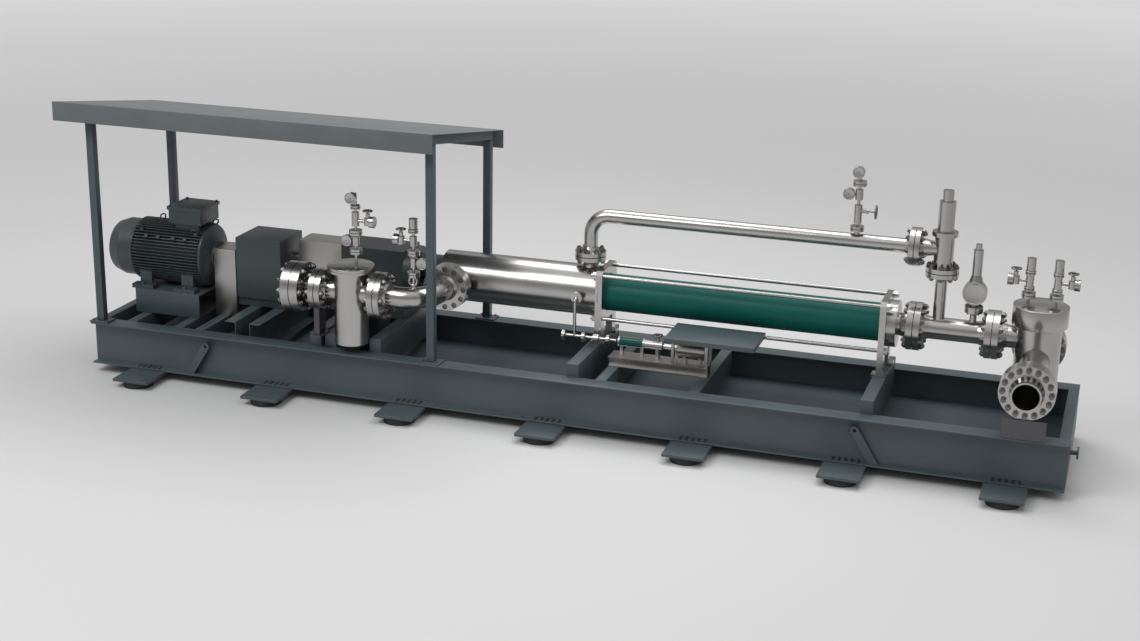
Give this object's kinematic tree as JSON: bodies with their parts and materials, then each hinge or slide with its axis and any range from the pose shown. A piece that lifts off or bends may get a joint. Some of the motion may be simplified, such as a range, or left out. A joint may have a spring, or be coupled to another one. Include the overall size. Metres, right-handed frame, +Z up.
{
  "type": "skid-mounted progressive cavity pump",
  "caption": "Progressive cavity pump on a long steel skid, with geared motor drive under a canopy, strainer, pressure relief bypass, outlet vessel and flushing unit.",
  "frame": {"origin": "on the floor, in the middle of the footprint", "axes": "+X along the skid from the motor to the outlet vessel, +Y away from the suction line, +Z up"},
  "size_m": [10.3, 2.484, 2.9],
  "materials": {
    "frame_paint": "satin",
    "roof_paint": "satin",
    "pan_paint": "satin",
    "pad_rubber": "matte",
    "machine_paint": "satin",
    "guard_steel": "satin",
    "pipe_steel": "polished",
    "stator_paint": "satin",
    "flush_pump_steel": "satin",
    "lining_rubber": "matte",
    "rotor_chrome": "polished",
    "shaft_steel": "ground",
    "fan_plastic": "matte",
    "bolt_steel": "zinc plated",
    "wheel_steel": "satin"
  },
  "bodies": {
    "skid": {"skid_beams": "frame_paint", "cross_beams": "frame_paint", "foot_plates": "frame_paint", "lifting_lugs": "frame_paint", "canopy_frame": "frame_paint", "motor_pedestal": "frame_paint", "flush_hood": "frame_paint", "canopy_roof": "roof_paint", "drip_pan": "pan_paint", "foot_pads": "pad_rubber", "motor_frame": "machine_paint", "motor_endshields": "machine_paint", "fan_cowl": "machine_paint", "terminal_box": "machine_paint", "gearbox_case": "machine_paint", "bearing_housing": "machine_paint", "coupling_guards": "guard_steel", "pipe_supports": "guard_steel", "flush_unit_base": "guard_steel", "suction_housing": "pipe_steel", "suction_end_plate": "pipe_steel", "discharge_end_plate": "pipe_steel", "tie_rods": "pipe_steel", "suction_pipework": "pipe_steel", "strainer_body": "pipe_steel", "strainer_lid": "pipe_steel", "discharge_pipework": "pipe_steel", "bypass_pipe": "pipe_steel", "relief_valves": "pipe_steel", "outlet_vessel": "pipe_steel", "outlet_vessel_lid": "pipe_steel", "instrument_valves": "pipe_steel", "flush_pipework": "pipe_steel", "drain_nozzle": "pipe_steel", "stator_tube": "stator_paint", "flush_pump": "flush_pump_steel", "stator_lining": "lining_rubber", "shaft_bearings": "shaft_steel", "mechanical_seal": "shaft_steel", "strainer_basket": "shaft_steel", "bolts_and_nuts": "bolt_steel"},
    "motor_rotor": {"motor_shaft": "shaft_steel", "motor_fan": "fan_plastic", "input_coupling": "shaft_steel", "input_pinion": "shaft_steel"},
    "intermediate_shaft": {"intermediate_gear": "shaft_steel"},
    "pump_shaft": {"output_gear": "shaft_steel", "output_coupling": "shaft_steel", "drive_shaft": "shaft_steel"},
    "joint_rod": {"coupling_rod": "shaft_steel"},
    "pump_rotor": {"rotor": "rotor_chrome"},
    "main_relief_spindle": {"relief_spindle": "shaft_steel"},
    "small_valve_spindle": {"small_relief_spindle": "shaft_steel"},
    "strainer_wheel": {"strainer_valve_wheel": "wheel_steel"},
    "elbow_wheel": {"elbow_valve_wheel": "wheel_steel"},
    "bypass_wheel": {"bypass_valve_wheel": "wheel_steel"},
    "outlet_wheel_a": {"outlet_valve_wheel_a": "wheel_steel"},
    "outlet_wheel_b": {"outlet_valve_wheel_b": "wheel_steel"},
    "flush_wheel": {"flush_valve_wheel": "wheel_steel"},
    "flush_pump_shaft": {"flush_shaft": "shaft_steel"}
  },
  "joints": [
    {"name": "pump_shaft_spin", "type": "hinge", "parent": "skid", "child": "pump_shaft", "pos_m": [-2.43, 0.238, 1.165], "axis": [1, 0, 0], "continuous": true},
    {"name": "intermediate_spin", "type": "hinge", "parent": "skid", "child": "intermediate_shaft", "pos_m": [-3.588, 0.11416, 1.06769], "axis": [1, 0, 0], "continuous": true},
    {"name": "motor_spin", "type": "hinge", "parent": "skid", "child": "motor_rotor", "pos_m": [-3.588, 0, 1.165], "axis": [1, 0, 0], "continuous": true},
    {"name": "rod_orbit", "type": "hinge", "parent": "skid", "child": "joint_rod", "pos_m": [0.35, 0.238, 1.165], "axis": [1, 0, 0], "continuous": true},
    {"name": "rotor_spin", "type": "hinge", "parent": "joint_rod", "child": "pump_rotor", "pos_m": [0.35, 0.238, 1.137], "axis": [1, 0, 0], "continuous": true},
    {"name": "relief_lift", "type": "slide", "parent": "skid", "child": "main_relief_spindle", "axis": [0, 0, 1], "range_m": [0, 0.018], "stiffness_N_per_m": 20000, "springref_m": -0.01},
    {"name": "small_relief_lift", "type": "slide", "parent": "skid", "child": "small_valve_spindle", "axis": [0, 0, 1], "range_m": [0, 0.01], "stiffness_N_per_m": 8000, "springref_m": -0.01},
    {"name": "strainer_wheel_turn", "type": "hinge", "parent": "skid", "child": "strainer_wheel", "pos_m": [-1.7978, -0.722, 1.45], "axis": [0, 0, 1], "range_deg": [0, 1080]},
    {"name": "elbow_wheel_turn", "type": "hinge", "parent": "skid", "child": "elbow_wheel", "pos_m": [-1.4606, -0.68457, 1.165], "axis": [0, 0, 1], "range_deg": [0, 1080]},
    {"name": "bypass_wheel_turn", "type": "hinge", "parent": "skid", "child": "bypass_wheel", "pos_m": [2.88, 0.238, 2.2457], "axis": [1, 0, 0], "range_deg": [0, 1080]},
    {"name": "outlet_wheel_a_turn", "type": "hinge", "parent": "skid", "child": "outlet_wheel_a", "pos_m": [4.3972, 0.238, 1.31], "axis": [0, 0, 1], "range_deg": [0, 1080]},
    {"name": "outlet_wheel_b_turn", "type": "hinge", "parent": "skid", "child": "outlet_wheel_b", "pos_m": [4.9168, 0.238, 1.31], "axis": [0, 0, 1], "range_deg": [0, 1080]},
    {"name": "flush_wheel_turn", "type": "hinge", "parent": "skid", "child": "flush_wheel", "pos_m": [1.045, -0.132, 0.782], "axis": [0, 0, 1], "range_deg": [0, 1080]},
    {"name": "flush_pump_spin", "type": "hinge", "parent": "skid", "child": "flush_pump_shaft", "pos_m": [1.26, -0.132, 0.782], "axis": [1, 0, 0], "continuous": true}
  ],
  "couplings": [
    {"joint": "intermediate_spin", "follows": "pump_shaft_spin", "ratio": -2},
    {"joint": "motor_spin", "follows": "pump_shaft_spin", "ratio": 6.5714},
    {"joint": "rod_orbit", "follows": "pump_shaft_spin", "ratio": -1},
    {"joint": "rotor_spin", "follows": "pump_shaft_spin", "ratio": 2}
  ]
}
